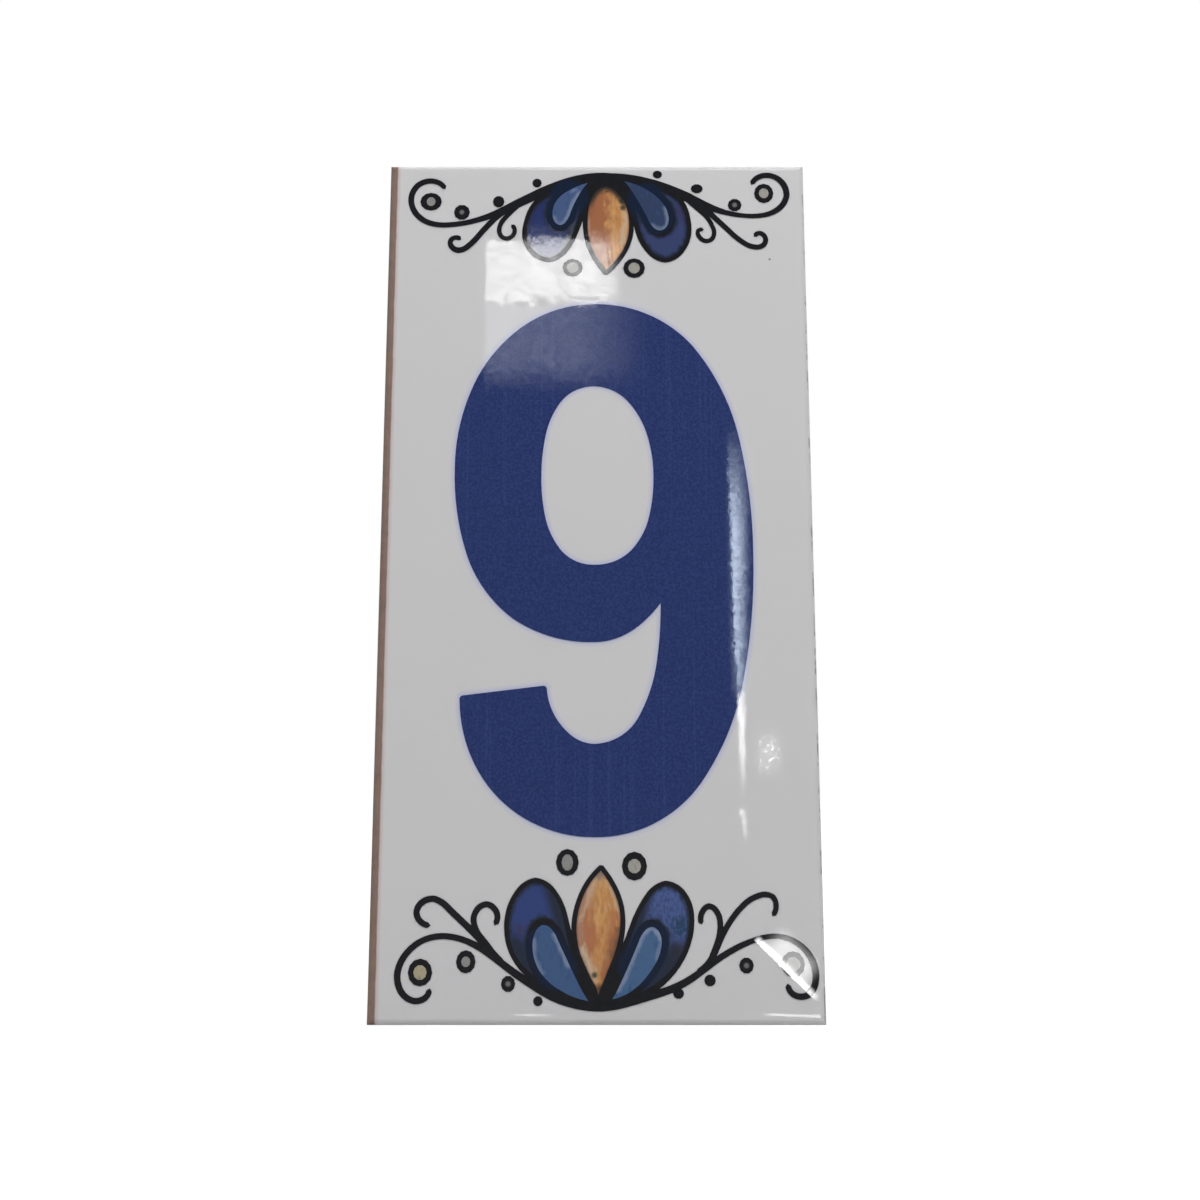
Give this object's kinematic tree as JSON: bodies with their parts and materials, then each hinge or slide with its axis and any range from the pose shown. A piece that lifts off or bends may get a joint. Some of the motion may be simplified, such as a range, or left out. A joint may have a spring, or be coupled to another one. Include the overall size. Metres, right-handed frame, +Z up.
{
  "type": "house number plaque",
  "caption": "Upright glazed ceramic tile with a large blue house number, palmette scroll ornament above and below it and a rounded face edge, fixed flat to a wall by its keyed back.",
  "frame": {"origin": "centre of the back face, where the tile meets the wall", "axes": "+X to the viewer's right, +Y into the wall, +Z up; the printed face looks towards -Y"},
  "size_m": [0.075, 0.0071, 0.15],
  "materials": {
    "white_glaze": "gloss",
    "numeral_blue": "gloss",
    "line_black": "gloss",
    "petal_dark_blue": "gloss",
    "petal_light_blue": "gloss",
    "petal_ochre": "gloss",
    "bead_grey": "gloss"
  },
  "bodies": {
    "root": {"tile": "white_glaze", "numeral": "numeral_blue", "scrollwork": "line_black", "outer_petals": "petal_dark_blue", "inner_petals": "petal_light_blue", "centre_petals": "petal_ochre", "bead_centres": "bead_grey"}
  },
  "joints": []
}
